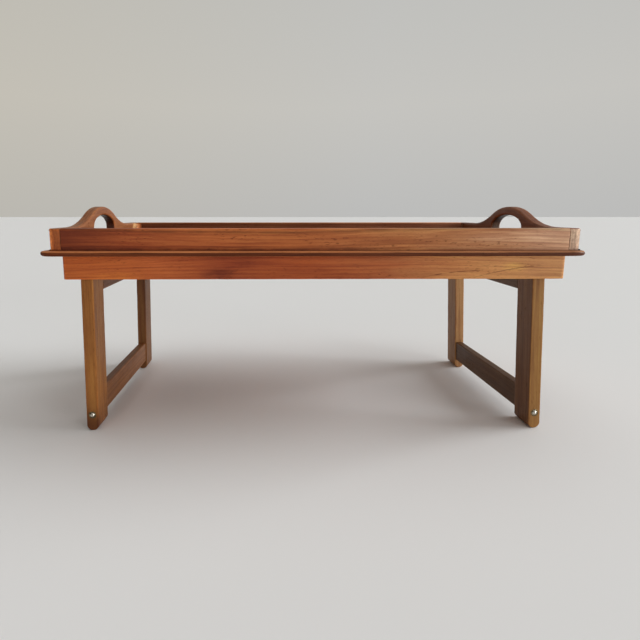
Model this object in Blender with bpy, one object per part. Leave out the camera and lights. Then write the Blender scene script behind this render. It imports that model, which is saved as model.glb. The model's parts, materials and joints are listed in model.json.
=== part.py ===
"""Wooden bed tray with folding legs, for meals or reading in bed.

Units are metres, +Z is up, and Z = 0 is the surface that the feet stand on.
X runs along the tray's length and Y across it, with the user's side at -Y.
The tray is a thin board with a low gallery round it, whose two end boards rise
into arched handles. Four apron boards under the tray hide the two leg frames
when these fold inwards, each about the two screws at its leg tops. It is made by
hand: the board sits a little to the left of the rest, and the right leg frame
leans out further than the left one.
"""
import math

import bmesh
import bpy
from mathutils import Matrix, Vector

# Driving dimensions
GAP = 0.0003                 # between pieces that touch or are glued
FLOOR_TO_BOARD = 0.240       # underside of the board above the floor
BOARD_LENGTH = 0.675
BOARD_WIDTH = 0.382
BOARD_THICKNESS = 0.006
BOARD_CORNER = 0.022
BULLNOSE = 0.0028            # rounding of the board's rim, top and bottom

MIDDLE_X = 0.0026            # middle of the gallery and the apron, from the board's middle
GALLERY_LENGTH = 0.6569
GALLERY_WIDTH = 0.354
GALLERY_STOCK = 0.015
GALLERY_TOP = 0.2734
GALLERY_EASE = 0.0025
END_CORNER = 0.007           # upright outer corners of the end boards
TOP_CORNER = 0.003           # their two upper corners, seen from the end
COVE_RADIUS = 0.011          # hollow inside corners of the gallery, part of the end boards
COVE_EDGE = 0.0004           # thickness where a cove meets the rail

HANDLE_TOP = 0.3015
HANDLE_Y = -0.0095           # the handles sit a little nearer to the user
HANDLE_HALF = 0.121          # half the handle's length, where it leaves the gallery
HANDLE_CROWN = 0.116         # radius of the arch's top
HANDLE_EASE = 0.003
HOLE_HALF = 0.0465           # hand hole: half an ellipse over a rounded slot
HOLE_MIDDLE = 0.270
HOLE_RISE = 0.0188
HOLE_BOTTOM = 0.256
HOLE_CORNER = 0.012

APRON_LENGTH = 0.6345
APRON_WIDTH = 0.335
APRON_STOCK = 0.014          # the long aprons
END_APRON_STOCK = 0.0148
APRON_BOTTOM = 0.2092
APRON_CORNER = 0.004

LEG_THICKNESS = 0.016
LEG_WIDTH = 0.039
LEG_EASE = 0.0012
LEG_SIDE_GAP = 0.0027        # between a leg and the long apron beside it
PIVOT_BELOW_BOARD = 0.010
SPLAY_LEFT = math.radians(1.2)    # each leg frame leans outwards against its apron
SPLAY_RIGHT = math.radians(3.1)
FOOT_FLAT = 0.00025          # how deep the flat on the rounded foot is cut
UPPER_RAIL = (0.016, 0.028)  # thickness and height
UPPER_RAIL_DROP = 0.028      # pivot to the middle of the upper rail
STRETCHER = (0.0125, 0.035)
STRETCHER_RISE = 0.0325      # foot to the middle of the stretcher
TENON_THICKNESS = 0.008
TENON_HEIGHT = 0.020
TENON_LENGTH = 0.012

PIVOT_SHANK = 0.0025         # radii of the pivot screw
PIVOT_BORE = 0.00258
PIVOT_HEAD = 0.005
PIVOT_HEAD_HEIGHT = 0.0028
PIVOT_GRIP = 0.009           # how far the screw goes into the apron
WASHER_RADIUS = 0.006

CATCH_RISE = 0.0222          # foot to the middle of the ball catch
BALL_RADIUS = 0.00375
BALL_STANDS_OUT = 0.0022
BALL_TRAVEL = 0.0015
BARREL_RADIUS = 0.0042
BARREL_LENGTH = 0.0132
FLANGE_RADIUS = 0.0050
FLANGE_THICKNESS = 0.0008
SPRING_RADIUS = 0.0028
SPRING_WIRE = 0.00035
SPRING_TURNS = 3
STRIKE_RADIUS = 0.0055
STRIKE_THICKNESS = 0.0012
STRIKE_DISH = 0.0007

DOWEL_RADIUS = 0.003
DOWEL_LENGTH = 0.024
DOWEL_IN_END = 0.009
DOWEL_HEIGHTS = (0.2530, 0.2655)
SCREW_RADIUS = 0.0015
SCREW_HEAD = 0.003
SCREW_LENGTH = 0.018
RAIL_SCREW_X = 0.160
RAIL_SCREW_IN = 0.005        # from the gallery's outer face to the screw
END_SCREW_Y = 0.120

# Worked out from them
BOARD_TOP = FLOOR_TO_BOARD + BOARD_THICKNESS
GALLERY_BOTTOM = BOARD_TOP + GAP
APRON_TOP = FLOOR_TO_BOARD - GAP
PIVOT_Z = FLOOR_TO_BOARD - PIVOT_BELOW_BOARD
LEG_RADIUS = LEG_THICKNESS / 2
STOP_X = APRON_LENGTH / 2 - END_APRON_STOCK - GAP
APRON_INNER_Y = APRON_WIDTH / 2 - APRON_STOCK
LEG_OUTER_Y = APRON_INNER_Y - LEG_SIDE_GAP
LEG_INNER_Y = LEG_OUTER_Y - LEG_WIDTH

X_AXIS = Vector((1, 0, 0))
Y_AXIS = Vector((0, 1, 0))
Z_AXIS = Vector((0, 0, 1))


def splay(side):
    """Lean of a leg frame. side is -1 for the left one and 1 for the right one."""
    return SPLAY_LEFT if side < 0 else SPLAY_RIGHT


def pivot_x(side):
    """Distance of a pivot from the tray's middle, where the leaning leg meets its stop."""
    lean = splay(side)
    return STOP_X - (PIVOT_Z - APRON_BOTTOM) * math.tan(lean) - LEG_RADIUS / math.cos(lean)


def leg_length(side):
    """From the pivot to the middle of the rounded foot."""
    return (PIVOT_Z - LEG_RADIUS + FOOT_FLAT) / math.cos(splay(side))


def catch_drop(side):
    return leg_length(side) + LEG_RADIUS - CATCH_RISE


def stretcher_height(side):
    return STRETCHER_RISE - LEG_RADIUS - leg_length(side)


def clear_scene():
    for old in list(bpy.data.objects):
        bpy.data.objects.remove(old, do_unlink=True)


def make_material(name, color, roughness, metallic=0.0):
    material = bpy.data.materials.new(name)
    material.use_nodes = True
    shader = material.node_tree.nodes["Principled BSDF"]
    shader.inputs["Base Color"].default_value = (*color, 1.0)
    shader.inputs["Roughness"].default_value = roughness
    shader.inputs["Metallic"].default_value = metallic
    material.diffuse_color = (*color, 1.0)
    return material


def link_mesh(name, bm, material):
    """Store a bmesh as a named object, with its faces pointing out."""
    bmesh.ops.recalc_face_normals(bm, faces=bm.faces[:])
    mesh = bpy.data.meshes.new(name)
    bm.to_mesh(mesh)
    bm.free()
    mesh.materials.append(material)
    mesh.shade_smooth()
    mesh.set_sharp_from_angle(angle=math.radians(35))
    piece = bpy.data.objects.new(name, mesh)
    bpy.context.scene.collection.objects.link(piece)
    return piece


# Outlines: lists of (u, v) points, counterclockwise

def arc(centre, radius, start, end, steps):
    """Points of an arc, with angles in degrees, both ends included."""
    points = []
    for i in range(steps + 1):
        angle = math.radians(start + (end - start) * i / steps)
        points.append((centre[0] + radius * math.cos(angle), centre[1] + radius * math.sin(angle)))
    return points


def rounded_rectangle(low, high, radii, steps=4):
    """A rectangle whose corners have the four radii, counterclockwise from the low-low corner."""
    corners = ((low[0], low[1], 1, 1, 180), (high[0], low[1], -1, 1, 270),
               (high[0], high[1], -1, -1, 0), (low[0], high[1], 1, -1, 90))
    points = []
    for (u, v, to_u, to_v, start), radius in zip(corners, radii):
        if radius == 0:
            points.append((u, v))
        else:
            centre = (u + to_u * radius, v + to_v * radius)
            points += arc(centre, radius, start, start + 90, steps)
    return points


def ogee_side(steps):
    """Right half of a handle's top, from where it leaves the gallery up to the crown."""
    rise = HANDLE_TOP - GALLERY_TOP
    turn = 2 * math.atan(rise / HANDLE_HALF)
    hollow = HANDLE_HALF / math.sin(turn) - HANDLE_CROWN
    degrees = math.degrees(turn)
    low = arc((HANDLE_HALF, GALLERY_TOP + hollow), hollow, 270, 270 - degrees, steps)
    high = arc((0, HANDLE_TOP - HANDLE_CROWN), HANDLE_CROWN, 90 - degrees, 90, steps)
    return low[:-1] + high


def end_board_outline(steps=6):
    """Side view of an end board, in Y and Z."""
    half = GALLERY_WIDTH / 2
    right = ogee_side(steps)
    left = [(-y, z) for y, z in reversed(right[:-1])]
    top = [(HANDLE_Y + y, z) for y, z in right + left]
    corner = TOP_CORNER
    points = [(-half, GALLERY_BOTTOM), (half, GALLERY_BOTTOM)]
    points += arc((half - corner, GALLERY_TOP - corner), corner, 0, 90, 3)
    points += top
    points += arc((corner - half, GALLERY_TOP - corner), corner, 90, 180, 3)
    return points


def hand_hole_outline(steps=14):
    """The hand hole, in Y and Z: half an ellipse, closed below by rounded corners."""
    points = []
    for i in range(steps + 1):
        angle = math.pi * i / steps
        points.append((HANDLE_Y + HOLE_HALF * math.cos(angle), HOLE_MIDDLE + HOLE_RISE * math.sin(angle)))
    inner = HOLE_HALF - HOLE_CORNER
    points += arc((HANDLE_Y - inner, HOLE_BOTTOM + HOLE_CORNER), HOLE_CORNER, 180, 270, 3)
    points += arc((HANDLE_Y + inner, HOLE_BOTTOM + HOLE_CORNER), HOLE_CORNER, 270, 360, 3)
    return points


def inward_steps(outline, keep_low):
    """For each outline point, the step that moves both sides meeting there inwards by 1."""
    count = len(outline)
    lowest = min(v for u, v in outline)
    steps = []
    for i in range(count):
        before = Vector(outline[i]) - Vector(outline[i - 1])
        after = Vector(outline[(i + 1) % count]) - Vector(outline[i])
        normal_1 = Vector((-before.y, before.x)).normalized()
        normal_2 = Vector((-after.y, after.x)).normalized()
        step = (normal_1 + normal_2) / (1 + normal_1.dot(normal_2))
        if keep_low and outline[i][1] < lowest + 1e-6:
            step.y = 0
        steps.append(step)
    return steps


def slab(name, outline, axis, low, high, ease, material, hole=None, steps=2, keep_low=False):
    """A solid with the given outline between two planes, its edges rounded.

    axis is "X", "Y" or "Z". The outline lies in the two other directions, in the order
    Y and Z, X and Z, or X and Y. ease is the rounding: a number, or a function that takes
    an outline point and its inward step, and gives two pairs, for the low and the high
    plane: how deep the rounding is, and how far it moves the point inwards. Without
    rounding, steps is 0.
    """
    def place(u, v, w):
        if axis == "X":
            return (w, u, v)
        if axis == "Y":
            return (u, w, v)
        return (u, v, w)

    bm = bmesh.new()
    loops = [outline] + ([hole[::-1]] if hole else [])
    caps = ([], [])
    for loop in loops:
        inward = inward_steps(loop, keep_low and loop is outline)
        if callable(ease):
            eases = [ease(point, step) for point, step in zip(loop, inward)]
        else:
            eases = [((ease, step * ease),) * 2 for step in inward]
        rings = []
        for side, plane, sign in ((0, low, 1), (1, high, -1)):
            part = []
            for k in range(steps + 1):
                angle = math.pi / 2 * k / max(steps, 1)
                ring = []
                for point, eased in zip(loop, eases):
                    deep, inset = eased[side]
                    inset = inset * (1 - math.sin(angle))
                    height = plane + sign * deep * (1 - math.cos(angle))
                    ring.append(bm.verts.new(place(point[0] + inset.x, point[1] + inset.y, height)))
                part.append(ring)
            caps[side].append(part[0])
            rings.append(part)
        stack = rings[0] + rings[1][::-1]
        for ring, following in zip(stack, stack[1:]):
            for i in range(len(ring)):
                j = (i + 1) % len(ring)
                bm.faces.new((ring[i], ring[j], following[j], following[i]))
    for side in caps:
        edges = []
        for ring in side:
            for i in range(len(ring)):
                vertex = ring[i]
                other = ring[(i + 1) % len(ring)]
                edges.append(bm.edges.get((vertex, other)))
        if hole:
            bmesh.ops.triangle_fill(bm, edges=edges, use_beauty=True)
        else:
            bm.faces.new(side[0])
    return link_mesh(name, bm, material)


def turned(name, profile, material, segments=16):
    """A round piece on the Z axis. The profile is a list of (radius, height), bottom to top."""
    bm = bmesh.new()
    rings = []
    for radius, height in profile:
        if radius == 0:
            rings.append([bm.verts.new((0, 0, height))])
            continue
        ring = []
        for i in range(segments):
            angle = 2 * math.pi * i / segments
            ring.append(bm.verts.new((radius * math.cos(angle), radius * math.sin(angle), height)))
        rings.append(ring)
    pairs = list(zip(rings, rings[1:]))
    if len(rings[0]) > 1:
        pairs.append((rings[-1], rings[0]))
    for ring, following in pairs:
        for i in range(segments):
            j = (i + 1) % segments
            corners = [ring[i % len(ring)], ring[j % len(ring)],
                       following[j % len(following)], following[i % len(following)]]
            bm.faces.new(list(dict.fromkeys(corners)))
    return link_mesh(name, bm, material)


def rod(name, radius, length, material, segments=12):
    """A plain round rod that stands on the origin, along +Z."""
    return turned(name, [(0, 0), (radius, 0), (radius, length), (0, length)], material, segments)


def point_along(piece, direction, position):
    """Turn a piece made along +Z to a direction, and put its origin at a position."""
    piece.rotation_euler = Vector(direction).to_track_quat("Z", "Y").to_euler()
    piece.location = position


# Cuts: hidden solids and the modifiers that use them

def boolean(target, tool, operation="DIFFERENCE"):
    tool.hide_render = True
    tool.display_type = "WIRE"
    cut = target.modifiers.new(tool.name, "BOOLEAN")
    cut.operation = operation
    cut.solver = "EXACT"
    cut.object = tool


def drill(target, position, direction, bores, material, segments=16):
    """Cut a round hole from the face at position. bores is a list of (radius, depth), widest first."""
    direction = Vector(direction).normalized()
    start = 0.001
    profile = [(0, 0)]
    reached = 0
    for radius, depth in bores:
        profile.append((radius, reached))
        profile.append((radius, depth + start))
        reached = depth + start
    profile.append((0, reached))
    tool = turned("drill_" + target.name, profile, material, segments)
    point_along(tool, direction, Vector(position) - direction * start)
    tool.parent = target.parent
    boolean(target, tool)


def block(name, low, high, material):
    outline = rounded_rectangle(low[:2], high[:2], (0, 0, 0, 0))
    return slab(name, outline, "Z", low[2], high[2], 0, material, steps=0)


# The fixed top: board, gallery and apron

def make_board(materials):
    low = (-BOARD_LENGTH / 2 - MIDDLE_X, -BOARD_WIDTH / 2)
    high = (BOARD_LENGTH / 2 - MIDDLE_X, BOARD_WIDTH / 2)
    outline = rounded_rectangle(low, high, (BOARD_CORNER,) * 4, 6)
    return slab("tray_board", outline, "Z", FLOOR_TO_BOARD, BOARD_TOP, BULLNOSE, materials["board"], steps=3)


def make_gallery_rail(name, side, materials):
    """side is -1 for the front rail and 1 for the back rail."""
    outer = side * GALLERY_WIDTH / 2
    inner = outer - side * GALLERY_STOCK
    half = GALLERY_LENGTH / 2 - GALLERY_STOCK - GAP
    outline = rounded_rectangle((min(outer, inner), GALLERY_BOTTOM), (max(outer, inner), GALLERY_TOP),
                                (0, 0, GALLERY_EASE, GALLERY_EASE), 3)
    rail = slab(name, outline, "X", -half, half, 0.0004, materials["rail"], steps=1)
    for end in (-1, 1):
        for height in DOWEL_HEIGHTS:
            middle = (end * half, (outer + inner) / 2, height)
            bores = [(DOWEL_RADIUS + GAP / 2, DOWEL_LENGTH - DOWEL_IN_END)]
            drill(rail, middle, (-end, 0, 0), bores, materials["rail"], 12)
    return rail


def end_board_ease(side):
    """Rounding of an end board: the arch and the hole all round, the upright corners outside."""
    half = GALLERY_WIDTH / 2

    def ease(point, step):
        from_end = half - abs(point[0])
        if point[1] < GALLERY_BOTTOM + 0.001:
            radius = END_CORNER if from_end < 0.001 else 0.0004
            outside = (radius, step * radius)
            inside = (0.0004, step * 0.0004)
        elif from_end < TOP_CORNER + 1e-6:
            # the upper corner runs in to where the upright corner and the top's rounding meet
            share = from_end / TOP_CORNER
            radius = END_CORNER + (HANDLE_EASE - END_CORNER) * share
            towards = -math.copysign(END_CORNER - from_end, point[0])
            outside = (radius, Vector((towards, GALLERY_TOP - HANDLE_EASE - point[1])))
            if share == 0:
                outside = (radius, Vector((towards, 0)))
            inside = (0.0004 + 0.0011 * share, step * (0.0004 + 0.0011 * share))
        else:
            radius = HANDLE_EASE if from_end > GALLERY_STOCK else 0.0015
            outside = (HANDLE_EASE, step * HANDLE_EASE)
            inside = (radius, step * radius)
        return (outside, inside) if side < 0 else (inside, outside)
    return ease


def cove_outline(side, row):
    """The wood that rounds an inside corner of the gallery, in X and Y."""
    face = GALLERY_LENGTH / 2 - GALLERY_STOCK
    rail = GALLERY_WIDTH / 2 - GALLERY_STOCK - GAP
    centre = (face - COVE_RADIUS, rail - COVE_EDGE - COVE_RADIUS)
    points = arc(centre, COVE_RADIUS, 0, 90, 6)
    points += [(centre[0], rail), (face + 0.001, rail), (face + 0.001, centre[1])]
    points = [(side * x, row * y) for x, y in points]
    return points[::-1] if side * row > 0 else points


def make_end_board(name, side, materials):
    """side is -1 for the left end board and 1 for the right one."""
    outer = side * GALLERY_LENGTH / 2
    inner = outer - side * GALLERY_STOCK
    board = slab(name, end_board_outline(), "X", min(outer, inner), max(outer, inner), end_board_ease(side),
                 materials["end"], hole=hand_hole_outline(), steps=2, keep_low=True)
    for row in (-1, 1):
        cove = slab("cove_" + name, cove_outline(side, row), "Z", GALLERY_BOTTOM + GAP, GALLERY_TOP - 0.0015,
                    0, materials["end"], steps=0)
        boolean(board, cove, "UNION")
    middle = GALLERY_WIDTH / 2 - GALLERY_STOCK / 2
    for y in (-middle, middle):
        for height in DOWEL_HEIGHTS:
            bores = [(DOWEL_RADIUS + GAP / 2, DOWEL_IN_END + GAP)]
            drill(board, (inner, y, height), (side, 0, 0), bores, materials["end"], 12)
    return board


def make_long_apron(name, side, materials):
    outer = side * APRON_WIDTH / 2
    inner = side * APRON_INNER_Y
    half = APRON_LENGTH / 2
    radii = (APRON_CORNER, APRON_CORNER, 0, 0) if side < 0 else (0, 0, APRON_CORNER, APRON_CORNER)
    outline = rounded_rectangle((-half, min(outer, inner)), (half, max(outer, inner)), radii, 3)
    apron = slab(name, outline, "Z", APRON_BOTTOM, APRON_TOP, 0.001, materials["apron"], steps=1)
    for end in (-1, 1):
        pivot = end * pivot_x(end)
        strike = end * (pivot_x(end) - catch_drop(end))
        for x, radius, depth in ((pivot, PIVOT_SHANK, PIVOT_GRIP), (strike, STRIKE_RADIUS, STRIKE_THICKNESS)):
            bores = [(radius + GAP / 2, depth + GAP)]
            drill(apron, (x, inner, PIVOT_Z), (0, side, 0), bores, materials["apron"])
    return apron


def make_end_apron(name, side, materials):
    outer = side * APRON_LENGTH / 2
    inner = outer - side * END_APRON_STOCK
    half = APRON_INNER_Y - GAP
    outline = rounded_rectangle((min(outer, inner), -half), (max(outer, inner), half), (0, 0, 0, 0))
    return slab(name, outline, "Z", APRON_BOTTOM, APRON_TOP, 0.0006, materials["apron"], steps=1)


def make_dowels(materials):
    reach = GALLERY_LENGTH / 2 - GALLERY_STOCK + DOWEL_IN_END
    middle = GALLERY_WIDTH / 2 - GALLERY_STOCK / 2
    for end, end_name in ((-1, "left"), (1, "right")):
        for side, side_name in ((-1, "front"), (1, "back")):
            for height, level in zip(DOWEL_HEIGHTS, ("lower", "upper")):
                name = f"dowel_{side_name}_{end_name}_{level}"
                dowel = rod(name, DOWEL_RADIUS, DOWEL_LENGTH - GAP, materials["dowel"])
                point_along(dowel, (-end, 0, 0), (end * reach, side * middle, height))


def countersunk_screw(name, position, material):
    """A wood screw driven upwards from the board's underside."""
    slot = 0.0008
    profile = [(0, slot), (0.0008, slot), (0.0012, GAP), (SCREW_HEAD, GAP), (SCREW_RADIUS, SCREW_HEAD),
               (SCREW_RADIUS, SCREW_LENGTH - 0.003), (0, SCREW_LENGTH)]
    screw = turned(name, profile, material, 8)
    screw.location = position


def screw_hole(name, position, material):
    wide = SCREW_HEAD + GAP
    narrow = SCREW_RADIUS + GAP / 2
    profile = [(0, -0.001), (wide + 0.001, -0.001), (wide, 0), (narrow, SCREW_HEAD),
               (narrow, SCREW_LENGTH - 0.003), (0, SCREW_LENGTH + GAP)]
    tool = turned(name, profile, material, 8)
    tool.location = position
    return tool


def make_board_screws(board, rails, ends, materials):
    spots = []
    for side, rail in zip((-1, 1), rails):
        for end in (-1, 1):
            y = side * (GALLERY_WIDTH / 2 - RAIL_SCREW_IN)
            spots.append((rail, (end * RAIL_SCREW_X, y, FLOOR_TO_BOARD)))
    for end, end_board in zip((-1, 1), ends):
        for side in (-1, 1):
            x = end * (GALLERY_LENGTH / 2 - RAIL_SCREW_IN)
            spots.append((end_board, (x, side * END_SCREW_Y, FLOOR_TO_BOARD)))
    for i, (upper, position) in enumerate(spots, 1):
        tool = screw_hole(f"cut_screw_{i}", position, materials["brass"])
        boolean(board, tool)
        boolean(upper, tool)
        countersunk_screw(f"board_screw_{i}", position, materials["brass"])


# The folding leg frames, each built upright about its pivot axis and then leant outwards

def leg_outline(side):
    """A leg in X and Z about its pivot, rounded at both ends, with a small level flat below."""
    lean = -side * math.degrees(splay(side))
    half_flat = math.degrees(math.acos(1 - FOOT_FLAT / LEG_RADIUS))
    down = 270 + lean
    foot = (0, -leg_length(side))
    points = arc((0, 0), LEG_RADIUS, 0, 180, 10)
    points += arc(foot, LEG_RADIUS, 180, down - half_flat, 4)
    points += arc(foot, LEG_RADIUS, down + half_flat, 360, 4)
    return points


def make_leg(name, side, near, pivot, materials):
    """near is -1 for a leg on the user's side and 1 for one at the back."""
    outer = near * LEG_OUTER_Y
    inner = near * LEG_INNER_Y
    wood = materials["leg"]
    leg = slab(name, leg_outline(side), "Y", min(outer, inner), max(outer, inner), LEG_EASE, wood, steps=1)
    leg.parent = pivot
    drill(leg, (0, inner, 0), (0, near, 0), [(PIVOT_BORE, LEG_WIDTH + 0.001)], wood)
    seat = [(FLANGE_RADIUS + GAP / 2, FLANGE_THICKNESS), (BARREL_RADIUS + GAP / 2, BARREL_LENGTH)]
    drill(leg, (0, outer, -catch_drop(side)), (0, -near, 0), seat, wood)
    for height in (-UPPER_RAIL_DROP, stretcher_height(side)):
        half_z = TENON_HEIGHT / 2 + GAP
        half_x = TENON_THICKNESS / 2 + GAP
        depth = inner + near * (TENON_LENGTH + GAP)
        start = inner - near * 0.001
        tool = block(f"cut_mortise_{name}", (-half_x, min(depth, start), height - half_z),
                     (half_x, max(depth, start), height + half_z), wood)
        tool.parent = pivot
        boolean(leg, tool)
    return leg


def make_cross_rail(name, size, height, pivot, materials):
    """A rail between two legs, of that thickness and height, with a tenon at each end."""
    half_x = size[0] / 2
    half_z = size[1] / 2
    half_y = LEG_INNER_Y - GAP
    outline = rounded_rectangle((-half_x, height - half_z), (half_x, height + half_z), (0.002,) * 4, 3)
    rail = slab(name, outline, "Y", -half_y, half_y, 0, materials["leg"], steps=0)
    rail.parent = pivot
    reach = LEG_INNER_Y + TENON_LENGTH
    tenon = block("tenon_" + name, (-TENON_THICKNESS / 2, -reach, height - TENON_HEIGHT / 2),
                  (TENON_THICKNESS / 2, reach, height + TENON_HEIGHT / 2), materials["leg"])
    tenon.parent = pivot
    boolean(rail, tenon, "UNION")
    return rail


def make_pivot_screw(name, end, near, materials):
    """A smooth-shanked screw through the leg's top into the long apron, its head inside."""
    head_y = LEG_INNER_Y - GAP
    length = APRON_INNER_Y + PIVOT_GRIP - head_y
    profile = [(0, -PIVOT_HEAD_HEIGHT + 0.0008), (0.0012, -PIVOT_HEAD_HEIGHT + 0.0008),
               (0.0018, -PIVOT_HEAD_HEIGHT), (0.0034, -PIVOT_HEAD_HEIGHT + 0.0003),
               (PIVOT_HEAD - 0.0004, -0.0014), (PIVOT_HEAD, 0), (PIVOT_SHANK, 0),
               (PIVOT_SHANK, length - 0.002), (0, length)]
    screw = turned(name, profile, materials["steel"])
    point_along(screw, (0, near, 0), (end * pivot_x(end), near * head_y, PIVOT_Z))


def make_pivot_washer(name, end, near, materials):
    thickness = LEG_SIDE_GAP - 2 * GAP
    inside = PIVOT_BORE
    profile = [(WASHER_RADIUS, 0), (WASHER_RADIUS, thickness), (inside, thickness), (inside, 0)]
    washer = turned(name, profile, materials["brass"])
    point_along(washer, (0, near, 0), (end * pivot_x(end), near * (LEG_OUTER_Y + GAP), PIVOT_Z))


def make_strike_cup(name, end, near, materials):
    profile = [(0, 0), (STRIKE_RADIUS, 0), (STRIKE_RADIUS, STRIKE_THICKNESS - 0.0002),
               (STRIKE_RADIUS - 0.0002, STRIKE_THICKNESS), (0.0030, STRIKE_THICKNESS),
               (0.0018, STRIKE_THICKNESS - STRIKE_DISH * 0.7), (0, STRIKE_THICKNESS - STRIKE_DISH)]
    cup = turned(name, profile, materials["brass"])
    seat = near * (APRON_INNER_Y + STRIKE_THICKNESS)
    point_along(cup, (0, -near, 0), (end * (pivot_x(end) - catch_drop(end)), seat, PIVOT_Z))


def make_barrel(name, side, near, pivot, materials):
    """The catch's brass barrel: a cup open at its mouth, which holds the ball in."""
    wall = BALL_RADIUS + GAP / 2
    mouth = 0.0035
    front = GAP
    back = front - BARREL_LENGTH
    profile = [(0, back), (BARREL_RADIUS, back), (BARREL_RADIUS, front - FLANGE_THICKNESS),
               (FLANGE_RADIUS, front - FLANGE_THICKNESS), (FLANGE_RADIUS, front - 0.0003),
               (FLANGE_RADIUS - 0.0003, front), (mouth + 0.0002, front), (mouth, front - 0.0002),
               (wall, -0.0009), (wall, back + 0.0008), (0, back + 0.0008)]
    barrel = turned(name, profile, materials["brass"])
    barrel.parent = pivot
    point_along(barrel, (0, near, 0), (0, near * LEG_OUTER_Y, -catch_drop(side)))


def make_ball(name, side, near, pivot, materials):
    """The catch's ball, with its origin at its centre."""
    bands = 8
    profile = [(0, -BALL_RADIUS)]
    for i in range(1, bands):
        angle = math.pi * i / bands
        profile.append((BALL_RADIUS * math.sin(angle), -BALL_RADIUS * math.cos(angle)))
    profile.append((0, BALL_RADIUS))
    ball = turned(name, profile, materials["steel"])
    ball.parent = pivot
    centre = LEG_OUTER_Y + BALL_STANDS_OUT - BALL_RADIUS
    point_along(ball, (0, near, 0), (0, near * centre, -catch_drop(side)))


def make_spring(name, side, near, pivot, materials):
    """The coil spring behind the ball, as one wire swept round a helix."""
    steps_per_turn = 10
    sides = 4
    front = BALL_STANDS_OUT - 2 * BALL_RADIUS - GAP - SPRING_WIRE
    back = GAP - BARREL_LENGTH + 0.0008 + GAP + SPRING_WIRE
    count = SPRING_TURNS * steps_per_turn
    bm = bmesh.new()
    rings = []
    for i in range(count + 1):
        angle = 2 * math.pi * i / steps_per_turn
        outward = Vector((math.cos(angle), math.sin(angle), 0))
        centre = outward * SPRING_RADIUS + Z_AXIS * (back + (front - back) * i / count)
        ring = []
        for k in range(sides):
            turn = 2 * math.pi * k / sides
            ring.append(bm.verts.new(centre + SPRING_WIRE * (outward * math.cos(turn) + Z_AXIS * math.sin(turn))))
        rings.append(ring)
    for ring, following in zip(rings, rings[1:]):
        for k in range(sides):
            j = (k + 1) % sides
            bm.faces.new((ring[k], ring[j], following[j], following[k]))
    bm.faces.new(rings[0])
    bm.faces.new(rings[-1])
    spring = link_mesh(name, bm, materials["steel"])
    spring.parent = pivot
    point_along(spring, (0, near, 0), (0, near * LEG_OUTER_Y, -catch_drop(side)))


def make_leg_frame(side, side_name, materials):
    """side is -1 for the frame at the left end of the tray and 1 for the right one."""
    pivot = bpy.data.objects.new(side_name + "_leg_fold", None)
    pivot.location = (side * pivot_x(side), 0, PIVOT_Z)
    pivot.rotation_euler = (0, -side * splay(side), 0)
    bpy.context.scene.collection.objects.link(pivot)
    for near, near_name in ((-1, "front"), (1, "back")):
        place = f"{near_name}_{side_name}"
        make_leg("leg_" + place, side, near, pivot, materials)
        make_barrel("catch_barrel_" + place, side, near, pivot, materials)
        make_ball("catch_ball_" + place, side, near, pivot, materials)
        make_spring("catch_spring_" + place, side, near, pivot, materials)
        make_pivot_screw("pivot_screw_" + place, side, near, materials)
        make_pivot_washer("pivot_washer_" + place, side, near, materials)
        make_strike_cup("strike_cup_" + place, side, near, materials)
    make_cross_rail("upper_rail_" + side_name, UPPER_RAIL, -UPPER_RAIL_DROP, pivot, materials)
    make_cross_rail("stretcher_" + side_name, STRETCHER, stretcher_height(side), pivot, materials)


def centre_on_board():
    """Move everything, cutters too, so that the origin is under the board's middle."""
    middle = bpy.data.objects.new("tray_middle", None)
    middle.location = (MIDDLE_X, 0, 0)
    for piece in list(bpy.context.scene.objects):
        if piece.parent is None:
            piece.parent = middle
    bpy.context.scene.collection.objects.link(middle)


def main():
    clear_scene()
    materials = {
        "board": make_material("board_wood", (0.13, 0.055, 0.028), 0.45),
        "rail": make_material("rail_wood", (0.23, 0.080, 0.035), 0.42),
        "end": make_material("end_wood", (0.24, 0.105, 0.050), 0.45),
        "apron": make_material("apron_wood", (0.30, 0.105, 0.045), 0.45),
        "leg": make_material("leg_wood", (0.18, 0.085, 0.045), 0.45),
        "dowel": make_material("dowel_wood", (0.50, 0.34, 0.18), 0.60),
        "brass": make_material("brass", (0.62, 0.44, 0.20), 0.30, 1.0),
        "steel": make_material("steel", (0.60, 0.58, 0.55), 0.25, 1.0),
    }
    board = make_board(materials)
    rails = (make_gallery_rail("gallery_front", -1, materials), make_gallery_rail("gallery_back", 1, materials))
    ends = (make_end_board("end_board_left", -1, materials), make_end_board("end_board_right", 1, materials))
    make_long_apron("apron_front", -1, materials)
    make_long_apron("apron_back", 1, materials)
    make_end_apron("apron_left", -1, materials)
    make_end_apron("apron_right", 1, materials)
    make_dowels(materials)
    make_board_screws(board, rails, ends, materials)
    make_leg_frame(-1, "left", materials)
    make_leg_frame(1, "right", materials)
    centre_on_board()


main()
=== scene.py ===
"""The looks of a wooden bed tray with folding legs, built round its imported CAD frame.

Every board, leg and fitting is rebuilt as a finer mesh in the place of its CAD node:
the same outlines with rounder edges, slightly worn by hand, and the same bores.
X runs along the tray, Y across it with the user's side at -Y, and Z is up, in metres.
"""
import json
import math

import bmesh
import bpy
from mathutils import Matrix, Vector, noise


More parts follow.
